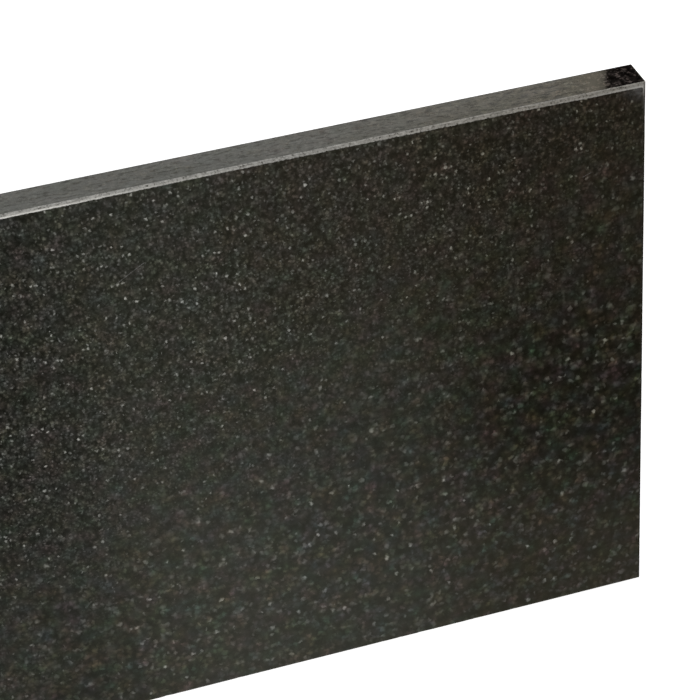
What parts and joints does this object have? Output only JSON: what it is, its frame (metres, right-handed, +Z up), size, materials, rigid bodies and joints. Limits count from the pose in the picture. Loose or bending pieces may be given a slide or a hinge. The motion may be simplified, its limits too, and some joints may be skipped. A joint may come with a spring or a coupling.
{
  "type": "granite slab",
  "caption": "Rectangular slab of dark fine-grained granite, polished on its face and edges, used as a flat, heavy backing surface for tooling work.",
  "frame": {"origin": "middle of the bottom edge, halfway through the thickness, with the slab standing on a long edge", "axes": "+X along the long edge, +Y through the thickness from the polished face to the sawn back, +Z up along the short side"},
  "size_m": [0.4, 0.018, 0.3],
  "materials": {
    "granite": "polished face and edges, ground arris, sawn back"
  },
  "bodies": {
    "root": {"granite_slab": "granite"}
  },
  "joints": []
}
